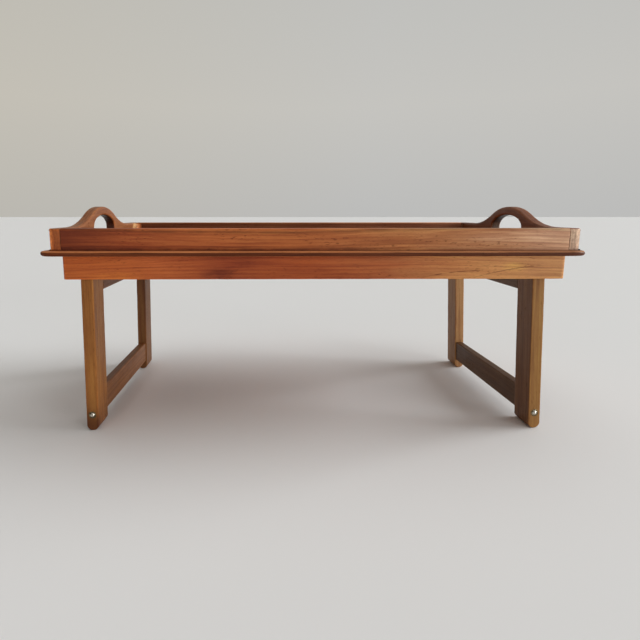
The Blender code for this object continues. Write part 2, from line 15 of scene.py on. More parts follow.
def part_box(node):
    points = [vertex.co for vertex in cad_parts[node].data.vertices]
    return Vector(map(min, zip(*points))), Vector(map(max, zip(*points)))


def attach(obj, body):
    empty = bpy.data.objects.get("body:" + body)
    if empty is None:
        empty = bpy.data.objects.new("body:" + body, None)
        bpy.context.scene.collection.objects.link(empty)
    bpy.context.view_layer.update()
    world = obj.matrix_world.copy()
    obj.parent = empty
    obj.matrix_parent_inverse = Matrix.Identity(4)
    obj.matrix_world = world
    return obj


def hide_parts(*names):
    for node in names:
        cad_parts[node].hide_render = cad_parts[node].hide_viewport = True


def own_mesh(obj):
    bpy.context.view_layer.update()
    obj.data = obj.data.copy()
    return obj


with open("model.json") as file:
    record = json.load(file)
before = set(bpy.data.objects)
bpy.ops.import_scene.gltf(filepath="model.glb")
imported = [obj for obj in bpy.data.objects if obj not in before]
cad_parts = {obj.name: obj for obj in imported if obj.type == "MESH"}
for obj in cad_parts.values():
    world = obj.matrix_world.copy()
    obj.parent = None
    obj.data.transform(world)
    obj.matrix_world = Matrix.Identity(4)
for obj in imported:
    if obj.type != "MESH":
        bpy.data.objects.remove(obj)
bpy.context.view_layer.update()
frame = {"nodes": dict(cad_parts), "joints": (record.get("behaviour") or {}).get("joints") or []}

# Shapes that the frame's boxes don't give, as in the CAD
GAP = 0.0003
BOARD_CORNER = 0.022
BULLNOSE = 0.0028
GALLERY_EASE = 0.0025
INNER_EASE = 0.0015
SHARP = 0.0004
END_CORNER = 0.007
TOP_CORNER = 0.003
COVE_RADIUS = 0.011
COVE_EDGE = 0.0004
HANDLE_Y = -0.0095
HANDLE_HALF = 0.121
HANDLE_CROWN = 0.116
HANDLE_EASE = 0.003
HOLE_HALF = 0.0465
HOLE_MIDDLE = 0.270
HOLE_RISE = 0.0188
HOLE_BOTTOM = 0.256
HOLE_CORNER = 0.012
APRON_CORNER = 0.004
LEG_WIDTH = 0.039
LEG_RADIUS = 0.008
LEG_EASE = 0.0012
FOOT_FLAT = 0.00025
UPPER_RAIL = (0.016, 0.028)
STRETCHER = (0.0125, 0.035)
UPPER_RAIL_DROP = 0.028
STRETCHER_RISE = 0.0325
TENON_THICKNESS = 0.008
TENON_HEIGHT = 0.020
TENON_LENGTH = 0.012
PIVOT_SHANK = 0.0025
PIVOT_BORE = 0.00258
PIVOT_HEAD = 0.005
PIVOT_HEAD_HEIGHT = 0.0028
PIVOT_DOME = 0.0023
PIVOT_GRIP = 0.009
WASHER_RADIUS = 0.006
CATCH_RISE = 0.0222
BALL_RADIUS = 0.00375
BALL_STANDS_OUT = 0.0022
BARREL_RADIUS = 0.0042
BARREL_LENGTH = 0.0132
FLANGE_RADIUS = 0.0050
FLANGE_THICKNESS = 0.0008
SPRING_RADIUS = 0.0028
SPRING_WIRE = 0.00035
SPRING_TURNS = 3
STRIKE_RADIUS = 0.0055
STRIKE_THICKNESS = 0.0012
STRIKE_DISH = 0.0007
DOWEL_RADIUS = 0.003
DOWEL_LENGTH = 0.024
DOWEL_IN_END = 0.009
DOWEL_HEIGHTS = (0.2530, 0.2655)
SCREW_RADIUS = 0.0015
SCREW_HEAD = 0.003
SCREW_LENGTH = 0.018
RAIL_SCREW_X = 0.160
RAIL_SCREW_IN = 0.005
END_SCREW_Y = 0.120

# Places taken from the frame
BOARD_LOW, BOARD_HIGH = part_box("tray_board")
END_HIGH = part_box("end_board_right")[1]
FRONT_LOW, FRONT_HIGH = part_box("gallery_front")
MIDDLE_X = (FRONT_LOW.x + FRONT_HIGH.x) / 2
GALLERY_HALF_X = END_HIGH.x - MIDDLE_X
GALLERY_HALF_Y = END_HIGH.y
GALLERY_STOCK = FRONT_HIGH.y - FRONT_LOW.y
GALLERY_BOTTOM = FRONT_LOW.z
GALLERY_TOP = FRONT_HIGH.z
HANDLE_TOP = END_HIGH.z
APRON_INNER_Y = -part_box("apron_front")[1].y
LEG_OUTER_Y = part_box("leg_back_right")[1].y
LEG_INNER_Y = LEG_OUTER_Y - LEG_WIDTH
JOINTS = {joint["name"]: joint for joint in frame["joints"]}

SIDES = ((-1, "left"), (1, "right"))
ROWS = ((-1, "front"), (1, "back"))

# The two leg frames, by side: their pivots, and how far each leans outwards
FOLDS = {side: JOINTS[name + "_leg_fold"] for side, name in SIDES}
PIVOT_X = {side: fold["pos_m"][0] for side, fold in FOLDS.items()}
PIVOT_Z = FOLDS[1]["pos_m"][2]
SPLAY = {side: math.radians(max(fold["range_deg"]) - 90) for side, fold in FOLDS.items()}
LEG_LENGTH = {side: (PIVOT_Z - LEG_RADIUS + FOOT_FLAT) / math.cos(lean) for side, lean in SPLAY.items()}
CATCH_DROP = {side: length + LEG_RADIUS - CATCH_RISE for side, length in LEG_LENGTH.items()}
STRETCHER_HEIGHT = {side: STRETCHER_RISE - LEG_RADIUS - length for side, length in LEG_LENGTH.items()}


# Materials: every one is made of nodes

class Nodes:
    """Short calls that add linked nodes to a tree: a new material's, or the one given."""

    def __init__(self, name="", tree=None):
        if tree is None:
            self.material = bpy.data.materials.new(name)
            self.material.use_nodes = True
            tree = self.material.node_tree
            self.shader = tree.nodes["Principled BSDF"]
        self.tree = tree

    def put(self, socket, value):
        if isinstance(value, bpy.types.NodeSocket):
            self.tree.links.new(value, socket)
        elif value is not None:
            socket.default_value = value

    def add(self, kind, inputs=(), **settings):
        node = self.tree.nodes.new(kind)
        for key, value in settings.items():
            setattr(node, key, value)
        for key, value in dict(inputs).items():
            self.put(node.inputs[key], value)
        return node

    def math(self, operation, a, b=None, c=None):
        node = self.add("ShaderNodeMath", operation=operation)
        for socket, value in zip(node.inputs, (a, b, c)):
            self.put(socket, value)
        return node.outputs[0]

    def product(self, first, *others):
        for value in others:
            first = self.math("MULTIPLY", first, value)
        return first

    def total(self, start, *terms):
        """start, plus each term's value times its amount."""
        for value, amount in terms:
            start = self.math("MULTIPLY_ADD", value, amount, start)
        return start

    def vector(self, operation, a, b=None):
        node = self.add("ShaderNodeVectorMath", operation=operation)
        self.put(node.inputs[0], a)
        self.put(node.inputs[1], b)
        return node.outputs["Value" if operation == "LENGTH" else "Vector"]

    def split(self, vector):
        return self.add("ShaderNodeSeparateXYZ", {0: vector}).outputs

    def noise(self, place, scale, detail=2.0, roughness=0.5, output="Fac"):
        inputs = {"Vector": self.vector("MULTIPLY", place, scale), "Scale": 1.0, "Detail": detail,
                  "Roughness": roughness}
        return self.add("ShaderNodeTexNoise", inputs).outputs[output]

    def between(self, value, low, high, to_low=0.0, to_high=1.0):
        """Smoothly from to_low, where value is low, to to_high, where it is high."""
        inputs = {"Value": value, "From Min": low, "From Max": high, "To Min": to_low, "To Max": to_high}
        return self.add("ShaderNodeMapRange", inputs, interpolation_type="SMOOTHSTEP").outputs["Result"]

    def ramp(self, value, stops):
        node = self.add("ShaderNodeValToRGB", {"Fac": value})
        elements = node.color_ramp.elements
        while len(elements) < len(stops):
            elements.new(0.5)
        for element, (position, color) in zip(elements, stops):
            element.position = position
            element.color = (*color, 1.0) if hasattr(color, "__len__") else (color, color, color, 1.0)
        return node.outputs["Color"]

    def mix(self, factor, a, b, blend="MIX"):
        node = self.add("ShaderNodeMix", data_type="RGBA", blend_type=blend)
        self.put(node.inputs["Factor"], factor)
        for socket, value in ((node.inputs[6], a), (node.inputs[7], b)):
            self.put(socket, value if isinstance(value, bpy.types.NodeSocket) else (*value, 1.0))
        return node.outputs[2]

    def stain(self, share, color, factor):
        """The colour, multiplied by a colour factor as far as share says."""
        return self.mix(share, color, self.mix(1.0, color, factor, "MULTIPLY"))

    def spot(self, place, centre, size, soft):
        """1 inside an ellipsoid round centre, fading to 0 at its surface."""
        off = self.vector("DIVIDE", self.vector("SUBTRACT", place, centre), size)
        return self.between(self.vector("LENGTH", off), 1.0, 1.0 - soft)

    def bump(self, height, strength, distance):
        inputs = {"Height": height, "Strength": strength, "Distance": distance}
        return self.add("ShaderNodeBump", inputs).outputs["Normal"]

    def shade(self, values):
        """Put values into the shader's own sockets."""
        for key, value in values.items():
            self.put(self.shader.inputs[key], value)


# The order of the axes that puts the grain's axis first
GRAIN_FIRST = {"X": (0, 1, 2), "Y": (1, 0, 2), "Z": (2, 0, 1)}

# How far the grain ripples in every wood
RIPPLE = 0.0011

# Colour factors of what lies on the wood or in it, and of painted shade
DARK_PATCH = (0.50, 0.36, 0.33)
GOLD_PATCH = (1.28, 1.42, 1.25)
DARK_RING = (0.34, 0.24, 0.20)
FLECK = (0.26, 0.18, 0.15)
PORE = (0.35, 0.28, 0.25)
# Painted shade, darker where one piece sits on another and at a leg's foot
PAINTED_SHADE = (0.30, 0.22, 0.20)
RUBBED = (1.75, 1.65, 1.6)
KNOT_COLOR = (0.030, 0.014, 0.008)


def bent_grain(n, place, seeded, wave, sweep, knots):
    """The place after the grain's waves and its turns round knots, and the knots' hearts."""
    warped = place
    bends = ((3.2, 24, 24), 2.0, wave), ((1.9, 3, 3), 1.0, sweep * 2), ((32, 90, 90), 2.0, RIPPLE)
    for scale, detail, far in bends:
        bend = n.vector("SUBTRACT", n.noise(seeded, scale, detail, output="Color"), (0.5, 0.5, 0.5))
        warped = n.vector("ADD", warped, n.vector("MULTIPLY", bend, (0, far, far)))
    hearts = []
    for centre, size in knots:
        swirl = n.spot(place, centre, (size * 5, size * 2.6, size * 2.6), 1.0)
        hearts.append(n.spot(warped, centre, (size * 1.5, size, size), 0.6))
        turned_off = n.add("ShaderNodeCombineXYZ", {1: swirl, 2: swirl}).outputs[0]
        warped = n.vector("ADD", warped, n.vector("MULTIPLY", turned_off, (0, size * 0.9, size * 0.9)))
    return warped, hearts


def growth_rings(n, warped, grown, pith, ring):
    """How dark the growth rings make each place: 0 in early wood, about 1 in late wood."""
    flat = n.vector("SUBTRACT", n.vector("MULTIPLY", warped, (0, 1, 1)), (0, *pith))
    count = n.math("DIVIDE", n.vector("LENGTH", flat), ring)
    count = n.math("ADD", count, n.product(n.noise(grown, (4, 60, 60), 1.0), 1.6))
    late = n.ramp(n.math("FRACT", count),
                  ((0.0, 0.45), (0.12, 0.0), (0.55, 0.18), (0.88, 1.0), (1.0, 0.45)))
    year = n.add("ShaderNodeTexWhiteNoise", {"W": n.math("FLOOR", count)}, noise_dimensions="1D")
    year = n.math("MULTIPLY_ADD", year.outputs["Value"], 0.8, 0.35)
    return n.product(late, year, n.between(n.noise(grown, (14, 120, 120), 3.0), 0.25, 0.7, 0.35, 1.1))


def single_ring(n, along, up, grown, start, end, rise, thick):
    """A dark ring on the front from start to end, both (X, Z), that bows up by rise."""
    share = n.math("DIVIDE", n.math("SUBTRACT", along, start[0]), end[0] - start[0])
    curve = n.product(share, n.math("SUBTRACT", 1.0, share), 4 * rise)
    height = n.math("ADD", n.math("MULTIPLY_ADD", share, end[1] - start[1], start[1]), curve)
    off = n.math("ABSOLUTE", n.math("SUBTRACT", up, height))
    inside = n.product(n.between(share, -0.05, 0.08), n.between(share, 1.05, 0.85))
    broken = n.between(n.noise(grown, (90, 300, 300)), 0.40, 0.55, 0.25, 0.9)
    return n.product(n.between(off, thick, thick * 0.3), inside, broken)


def wood(name, tones, grain, seed, pith, ring, rings, streaks=0.5, wave=0.004, sweep=0.006,
         blotches=0.35, gold=0.25, flecks=0.3, fleck_areas=(), along=None, marks=(), knots=(), lines=(),
         bottom_shade=(), rim=None, front=None, hollow=None, wear=0.30, roughness=0.42, coat=0.03,
         specular=0.25):
    """Oiled hardwood with its growth rings, fibres, pores and flecks.

    tones are four colours from light to dark. pith is where the rings' centre lies across the
    grain, ring their spacing and rings their darkness. along is a list of (place along X, colour
    factor): the wood's change of tone, and on some pieces painted light as well. marks are
    (centre, size, colour factor, strength), some of them painted light and shade, knots (centre,
    size), and lines (start, end, rise, thickness) of single dark rings. bottom_shade is a list of
    (axis, unshaded place, shaded place) of painted shade, and may go on with its fading along X:
    (one place, another, the amounts at the two). rim and front are colour factors for the edges
    all round and for the faces towards the user: rim gives the edges' own grain and painted
    shade, front painted light on some pieces and painted shade on others. hollow is (centre,
    size, colour factor) of a hole's walls, painted shade.
    """
    def grain_first(values):
        return [values[k] for k in GRAIN_FIRST[grain]]

    n = Nodes(name)
    coordinates = n.add("ShaderNodeTexCoord").outputs
    parts = n.split(coordinates["Object"])
    place = n.add("ShaderNodeCombineXYZ", dict(enumerate(grain_first(parts)))).outputs[0]
    offset = (seed * 1.37 + 3.0, seed * 0.71 + 5.0, seed * 2.13 + 7.0)
    seeded = n.vector("ADD", place, offset)
    warped, hearts = bent_grain(n, place, seeded, wave, sweep, knots)
    grown = n.vector("ADD", warped, offset)
    late = growth_rings(n, warped, grown, pith, ring)
    streak = n.between(n.noise(grown, (8, 330, 330), 4.0, 0.6), 0.28, 0.72)
    fibre = n.noise(grown, (34, 1500, 1500), 3.0, 0.6)
    pore = n.between(n.noise(grown, (170, 3000, 3000), 1.0), 0.60, 0.72)
    fleck = n.between(n.noise(grown, (150, 620, 620)), 0.60, 0.68)
    crowd = n.between(n.noise(seeded, (16, 45, 45), 1.0), 0.42, 0.64)
    for centre, size in fleck_areas:
        crowd = n.math("MAXIMUM", crowd, n.spot(place, centre, size, 0.7))
    fleck = n.product(fleck, crowd)

    tone = n.total(0.0, (late, rings), (streak, streaks), (n.math("SUBTRACT", fibre, 0.5), 0.3))
    color = n.ramp(tone, [(0.1 + 0.85 * i / 3, c) for i, c in enumerate(tones)])
    if along:
        first = along[0][0]
        reach = along[-1][0] - first
        share = n.math("DIVIDE", n.math("SUBTRACT", parts[0], first), reach)
        shift = n.product(n.math("SUBTRACT", n.noise(seeded, (9, 60, 60)), 0.5), 0.22)
        stops = [((x - first) / reach, factor) for x, factor in along]
        color = n.mix(1.0, color, n.ramp(n.math("ADD", share, shift), stops), "MULTIPLY")
    patch = n.between(n.noise(seeded, (9, 36, 36), 3.0, 0.6), 0.50, 0.72)
    color = n.stain(n.product(patch, blotches), color, DARK_PATCH)
    patch = n.between(n.noise(n.vector("ADD", seeded, (11, 4, 9)), (7, 42, 42)), 0.52, 0.72)
    color = n.stain(n.product(patch, gold), color, GOLD_PATCH)
    for centre, size, factor, strength in marks:
        bent = warped if grain == "X" else place
        patch = n.spot(bent, grain_first(centre), grain_first(size), 0.9)
        ragged = n.between(n.noise(grown, (40, 160, 160), 3.0, 0.6), 0.3, 0.6, 0.35, 1.0)
        color = n.stain(n.product(patch, ragged, strength), color, factor)
    for line in lines:
        color = n.stain(single_ring(n, parts[0], n.split(warped)[2], grown, *line), color, DARK_RING)
    for heart in hearts:
        color = n.mix(n.product(heart, 0.8), color, KNOT_COLOR)
    color = n.stain(n.product(fleck, flecks), color, FLECK)
    color = n.stain(n.product(pore, 0.35), color, PORE)

    normal = n.split(coordinates["Normal"])
    # A colour factor for the upright edges and their lower rounding: partly their own edge grain, partly
    # painted shade
    if rim:
        upright = n.product(n.between(normal[2], 0.78, 0.38), n.between(normal[2], -0.97, -0.85))
        color = n.stain(upright, color, rim)
    # Painted light and shade: a colour factor for the faces towards the user, lighter on some pieces,
    # darker on others
    if front:
        color = n.stain(n.between(normal[1], -0.55, -0.92), color, front)
    # Painted shade: a colour factor for the walls of a hole
    if hollow:
        centre, size, factor = hollow
        inside = n.spot(place, grain_first(centre), grain_first(size), 0.12)
        inside = n.product(inside, n.between(n.math("ABSOLUTE", normal[0]), 0.75, 0.35))
        color = n.stain(inside, color, factor)
    mottle = n.noise(seeded, (28, 28, 28), 3.0, 0.6)
    # Painted shade: darker towards a low place along an axis, with a mottled edge, and fading along X where
    # given
    for axis, unshaded, shaded, *fading in bottom_shade:
        shade_share = n.between(parts["XYZ".index(axis)], unshaded, shaded)
        if fading:
            shade_share = n.product(shade_share, n.between(parts[0], *fading))
        color = n.stain(n.product(shade_share, n.between(mottle, 0.3, 0.6, 0.45, 0.95)), color, PAINTED_SHADE)
    rubbed = n.add("ShaderNodeAttribute", attribute_name="wear").outputs["Fac"]
    rubbed = n.product(rubbed, n.between(n.noise(seeded, (60, 90, 90), 3.0, 0.6), 0.35, 0.65, 0.25, 1.0))
    color = n.stain(n.product(rubbed, wear), color, RUBBED)

    gloss = n.total(roughness, (n.math("SUBTRACT", mottle, 0.5), 0.22), (fibre, 0.10),
                    (n.math("MAXIMUM", pore, fleck), 0.18), (rubbed, -0.06))
    relief = n.total(0.0, (fibre, 0.45), (pore, -0.55), (late, 0.30),
                     (n.noise(seeded, (90, 120, 120)), 0.35))
    n.shade({"Base Color": color, "Roughness": gloss, "Normal": n.bump(relief, 0.35, 0.00025),
             "Specular IOR Level": specular, "Coat Weight": coat, "Coat Roughness": 0.30})
    return n.material


def metal(name, color, tarnish, roughness, seed, tarnished):
    """Worn metal, with tarnish in patches and fine scratches."""
    n = Nodes(name)
    place = n.add("ShaderNodeTexCoord").outputs["Object"]
    seeded = n.vector("ADD", place, (seed + 1.0, seed * 0.7 + 2.0, seed * 1.9 + 3.0))
    cloud = n.noise(seeded, (420, 420, 420), 4.0, 0.65)
    speck = n.between(n.noise(seeded, (1900, 1900, 1900)), 0.60, 0.72)
    scratch = n.between(n.noise(seeded, (500, 9000, 2500)), 0.60, 0.70)
    patch = n.between(cloud, 0.42, 0.64)
    shown = n.mix(n.product(patch, tarnished), color, tarnish)
    shown = n.mix(n.product(speck, 0.45 * tarnished), shown, [0.35 * v for v in tarnish])
    gloss = n.total(roughness, (patch, 0.22 * tarnished), (scratch, 0.15))
    relief = n.total(cloud, (scratch, -0.6))
    n.shade({"Base Color": shown, "Roughness": gloss, "Metallic": 1.0,
             "Normal": n.bump(relief, 0.12, 0.0001)})
    return n.material


# Outlines: lists of (u, v) points, counterclockwise

def arc(centre, radius, start, end, steps):
    points = []
    for i in range(steps + 1):
        angle = math.radians(start + (end - start) * i / steps)
        points.append((centre[0] + radius * math.cos(angle), centre[1] + radius * math.sin(angle)))
    return points


def rounded_rectangle(low, high, radii, steps=8):
    """A rectangle whose corners have the four radii, from the low-low corner on."""
    corners = ((low[0], low[1], 1, 1, 180), (high[0], low[1], -1, 1, 270),
               (high[0], high[1], -1, -1, 0), (low[0], high[1], 1, -1, 90))
    points = []
    for (u, v, to_u, to_v, start), radius in zip(corners, radii):
        if radius == 0:
            points.append((u, v))
        else:
            centre = (u + to_u * radius, v + to_v * radius)
            points += arc(centre, radius, start, start + 90, steps)
    return points


def divided(outline, longest=0.012, support=0.0015):
    """The outline with its long straight runs divided, and a point close to each end of them."""
    points = []
    for i, start in enumerate(outline):
        end = outline[(i + 1) % len(outline)]
        length = math.dist(start, end)
        points.append(start)
        if length < 3 * support:
            continue
        count = max(1, math.ceil((length - 2 * support) / longest))
        for k in range(count + 1):
            share = (support + (length - 2 * support) * k / count) / length
            points.append((start[0] + (end[0] - start[0]) * share, start[1] + (end[1] - start[1]) * share))
    return points


def end_board_outline():
    """Side view of an end board, in Y and Z, with its ogee handle."""
    rise = HANDLE_TOP - GALLERY_TOP
    turn = 2 * math.atan(rise / HANDLE_HALF)
    hollow = HANDLE_HALF / math.sin(turn) - HANDLE_CROWN
    degrees = math.degrees(turn)
    low = arc((HANDLE_HALF, GALLERY_TOP + hollow), hollow, 270, 270 - degrees, 20)
    high = arc((0, HANDLE_TOP - HANDLE_CROWN), HANDLE_CROWN, 90 - degrees, 90, 20)
    right = low[:-1] + high
    left = [(-y, z) for y, z in reversed(right[:-1])]
    half = GALLERY_HALF_Y
    corner = TOP_CORNER
    points = [(-half, GALLERY_BOTTOM), (half, GALLERY_BOTTOM)]
    points += arc((half - corner, GALLERY_TOP - corner), corner, 0, 90, 5)
    points += [(HANDLE_Y + y, z) for y, z in right + left]
    points += arc((corner - half, GALLERY_TOP - corner), corner, 90, 180, 5)
    return divided(points)


def hand_hole_outline():
    half_round = arc((0, 0), 1, 0, 180, 48)
    points = [(HANDLE_Y + HOLE_HALF * u, HOLE_MIDDLE + HOLE_RISE * v) for u, v in half_round]
    inner = HOLE_HALF - HOLE_CORNER
    low = HOLE_BOTTOM + HOLE_CORNER
    points += arc((HANDLE_Y - inner, low), HOLE_CORNER, 180, 270, 8)
    return points + arc((HANDLE_Y + inner, low), HOLE_CORNER, 270, 360, 8)


def leg_outline(side):
    """A leg in X and Z about its pivot, rounded at both ends, with a level flat below."""
    lean = -side * math.degrees(SPLAY[side])
    half_flat = math.degrees(math.acos(1 - FOOT_FLAT / LEG_RADIUS))
    down = 270 + lean
    foot = (0, -LEG_LENGTH[side])
    points = arc((0, 0), LEG_RADIUS, 0, 180, 24)
    points += arc(foot, LEG_RADIUS, 180, down - half_flat, 11)
    points += arc(foot, LEG_RADIUS, down + half_flat, 360, 11)
    return divided(points, 0.010, 0.002)


# Solids as bmeshes

def loft(bm, rings, capped=True):
    """Faces from each ring of vertices to the next, and a face at both ends."""
    for ring, following in zip(rings, rings[1:]):
        for i in range(len(ring)):
            j = (i + 1) % len(ring)
            bm.faces.new((ring[i], ring[j], following[j], following[i]))
    if capped:
        bm.faces.new(rings[0])
        bm.faces.new(rings[-1])


def inward_steps(outline, keep_low):
    """For each outline point, the step that moves both sides meeting there inwards by 1."""
    count = len(outline)
    lowest = min(v for _, v in outline)
    steps = []
    for i in range(count):
        before = Vector(outline[i]) - Vector(outline[i - 1])
        after = Vector(outline[(i + 1) % count]) - Vector(outline[i])
        normal_1 = Vector((-before.y, before.x)).normalized()
        normal_2 = Vector((-after.y, after.x)).normalized()
        step = (normal_1 + normal_2) / (1 + normal_1.dot(normal_2))
        if keep_low and outline[i][1] < lowest + 1e-6:
            step.y = 0
        steps.append(step)
    return steps


def inside_of(points, distance):
    """The closed line that runs that far inside another. Points that coincide stay together."""
    distinct = []
    index = []
    for point in points:
        if not distinct or math.dist(point, distinct[-1]) > 1e-6:
            distinct.append(point)
        index.append(len(distinct) - 1)
    steps = inward_steps(distinct, False)
    moved = [(u + step.x * distance, v + step.y * distance) for (u, v), step in zip(distinct, steps)]
    return [moved[i] for i in index]


def slab(outline, axis, low, high, ease, hole=None, steps=5, keep_low=False, support=0.0012):
    """A solid with the given outline between two planes, its edges rounded.

    ease is the rounding: a number, or a function that takes an outline point and its inward
    step, and gives two pairs, for the low and the high plane: how deep the rounding is, and
    how far it moves the point inwards. A ring of points just inside each face keeps it flat.
    """
    def place(u, v, w):
        return {"X": (w, u, v), "Y": (u, w, v), "Z": (u, v, w)}[axis]

    bm = bmesh.new()
    loops = [outline] + ([hole[::-1]] if hole else [])
    for loop in loops:
        inward = inward_steps(loop, keep_low and loop is outline)
        if callable(ease):
            eases = [ease(point, step) for point, step in zip(loop, inward)]
        else:
            eases = [((ease, step * ease),) * 2 for step in inward]
        stacks = []
        for side, plane, sign in ((0, low, 1), (1, high, -1)):
            face = [(u + eased[side][1].x, v + eased[side][1].y) for (u, v), eased in zip(loop, eases)]
            part = [[place(u, v, plane) for u, v in inside_of(face, support)]]
            for k in range(steps + 1):
                angle = math.pi / 2 * k / steps
                ring = []
                for (u, v), eased in zip(loop, eases):
                    deep, inset = eased[side]
                    inset = inset * (1 - math.sin(angle))
                    depth = deep * (1 - math.cos(angle))
                    ring.append(place(u + inset.x, v + inset.y, plane + sign * depth))
                part.append(ring)
            part.append([place(u, v, plane + sign * (eased[side][0] + support))
                         for (u, v), eased in zip(loop, eases)])
            part = [[bm.verts.new(point) for point in ring] for ring in part]
            stacks.append(part)
        loft(bm, stacks[0] + stacks[1][::-1], capped=False)
    bmesh.ops.remove_doubles(bm, verts=bm.verts[:], dist=1e-6)
    if not hole:
        rims = [edge for edge in bm.edges if edge.is_boundary]
        bmesh.ops.holes_fill(bm, edges=rims)
        return bm
    index = "XYZ".index(axis)
    for plane in (low, high):
        rims = [edge for edge in bm.edges
                if edge.is_boundary and abs(edge.verts[0].co[index] - plane) < 1e-6]
        bmesh.ops.triangle_fill(bm, edges=rims, use_beauty=True)
    return bm


def turned(profile, segments):
    """A round solid on the Z axis. The profile is a list of (radius, height), bottom to top."""
    bm = bmesh.new()
    rings = []
    for radius, height in profile:
        if radius == 0:
            rings.append([bm.verts.new((0, 0, height))])
            continue
        circle = arc((0, 0), radius, 0, 360, segments)[:-1]
        rings.append([bm.verts.new((x, y, height)) for x, y in circle])
    pairs = list(zip(rings, rings[1:]))
    if len(rings[0]) > 1:
        pairs.append((rings[-1], rings[0]))
    for ring, following in pairs:
        for i in range(segments):
            j = (i + 1) % segments
            corners = [ring[i % len(ring)], ring[j % len(ring)],
                       following[j % len(following)], following[i % len(following)]]
            bm.faces.new(list(dict.fromkeys(corners)))
    return bm


def coil(back, front):
    """The catch's spring round the Z axis, from the height back to the height front."""
    bm = bmesh.new()
    rings = []
    count = SPRING_TURNS * 30
    for i in range(count + 1):
        angle = 2 * math.pi * SPRING_TURNS * i / count
        outward = Vector((math.cos(angle), math.sin(angle), 0))
        centre = outward * SPRING_RADIUS + Vector((0, 0, back + (front - back) * i / count))
        wire = SPRING_WIRE * min(1.0, 0.6 + 0.4 * min(i, count - i))
        rings.append([bm.verts.new(centre + outward * u + Vector((0, 0, v)))
                      for u, v in arc((0, 0), wire, 0, 360, 10)[:-1]])
    loft(bm, rings)
    return bm


def facing(direction, position):
    """The matrix that turns +Z to a direction and moves the origin to a position."""
    turn = Vector(direction).to_track_quat("Z", "Y").to_matrix().to_4x4()
    return Matrix.Translation(position) @ turn


def bore(position, direction, bores):
    """A cutter for a round hole from position inwards. bores is a list of (radius, depth)."""
    start = 0.001
    profile = [(0, 0)]
    reached = 0
    for radius, depth in bores:
        profile.append((radius, reached))
        profile.append((radius, depth + start))
        reached = depth + start
    profile.append((0, reached))
    bm = turned(profile, 32)
    direction = Vector(direction)
    bm.transform(facing(direction, Vector(position) - direction * start))
    return bm


def block(low, high):
    bm = bmesh.new()
    bmesh.ops.create_cube(bm, size=1)
    for vertex in bm.verts:
        vertex.co = [a + (b - a) * (c + 0.5) for a, b, c in zip(low, high, vertex.co)]
    return bm


# Pieces

def as_object(name, bm):
    bmesh.ops.recalc_face_normals(bm, faces=bm.faces[:])
    mesh = bpy.data.meshes.new(name)
    bm.to_mesh(mesh)
    bm.free()
    thing = bpy.data.objects.new(name, mesh)
    bpy.context.scene.collection.objects.link(thing)
    return thing


def rub_edges(bm, depth):
    """Mark the rounded edges in the layer "wear", and take up to depth off them unevenly."""
    bmesh.ops.recalc_face_normals(bm, faces=bm.faces[:])
    bm.normal_update()
    layer = bm.verts.layers.float.new("wear")
    moved = []
    for vertex in bm.verts:
        bend = max((edge.calc_face_angle(0) for edge in vertex.link_edges), default=0)
        vertex[layer] = min(1.0, bend / math.radians(9))
        if vertex[layer] > 0.3:
            rough = noise.noise(vertex.co * 95) + 0.6 * noise.noise(vertex.co * 260 + Vector((7, 3, 1)))
            moved.append((vertex, vertex.normal * depth * min(1.0, max(0.0, 0.35 + rough)) * vertex[layer]))
    for vertex, step in moved:
        vertex.co -= step


def cut(thing, cutters, operation="DIFFERENCE"):
    """Take cutters, given as bmeshes, from an object's mesh, or add them to it."""
    if not cutters:
        return
    joined = bmesh.new()
    for cutter in cutters:
        bmesh.ops.recalc_face_normals(cutter, faces=cutter.faces[:])
        mesh = bpy.data.meshes.new("cutter")
        cutter.to_mesh(mesh)
        cutter.free()
        joined.from_mesh(mesh)
        bpy.data.meshes.remove(mesh)
    tool = as_object("cutter", joined)
    modifier = thing.modifiers.new("cut", "BOOLEAN")
    modifier.operation = operation
    modifier.solver = "EXACT"
    modifier.object = tool
    graph = bpy.context.evaluated_depsgraph_get()
    result = bpy.data.meshes.new_from_object(thing.evaluated_get(graph))
    thing.modifiers.remove(modifier)
    old = thing.data
    thing.data = result
    bpy.data.meshes.remove(old)
    bpy.data.objects.remove(tool)


def piece(node, bm, material, body, cutters=(), place=None, rub=0.0, added=()):
    """A finished piece that stands for the CAD node of that name."""
    if rub:
        rub_edges(bm, rub)
    thing = as_object(node + ".fine", bm)
    cut(thing, added, "UNION")
    cut(thing, cutters)
    mesh = thing.data
    mesh.name = node + ".fine"
    mesh.materials.clear()
    mesh.materials.append(material)
    mesh.shade_smooth()
    mesh.set_sharp_from_angle(angle=math.radians(38))
    weighted = thing.modifiers.new("flat faces", "WEIGHTED_NORMAL")
    weighted.keep_sharp = True
    if place is not None:
        thing.matrix_world = place
    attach(thing, body)
    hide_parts(node)
    return thing


# Colours from light to dark, as linear values
RAIL_TONES = ((0.42, 0.125, 0.034), (0.33, 0.083, 0.021), (0.24, 0.056, 0.0145), (0.15, 0.033, 0.009))
END_TONES = ((0.36, 0.112, 0.036), (0.29, 0.083, 0.026), (0.22, 0.060, 0.019), (0.13, 0.033, 0.011))
APRON_TONES = ((0.44, 0.105, 0.024), (0.36, 0.076, 0.017), (0.28, 0.055, 0.0125), (0.17, 0.031, 0.008))
BOARD_TONES = ((0.54, 0.200, 0.072), (0.43, 0.148, 0.050), (0.32, 0.105, 0.036), (0.19, 0.060, 0.021))
LEG_TONES = ((0.30, 0.118, 0.030), (0.24, 0.084, 0.020), (0.175, 0.058, 0.014), (0.10, 0.031, 0.0085))
DOWEL_TONES = ((0.60, 0.44, 0.25), (0.52, 0.36, 0.20), (0.44, 0.29, 0.15), (0.34, 0.21, 0.11))

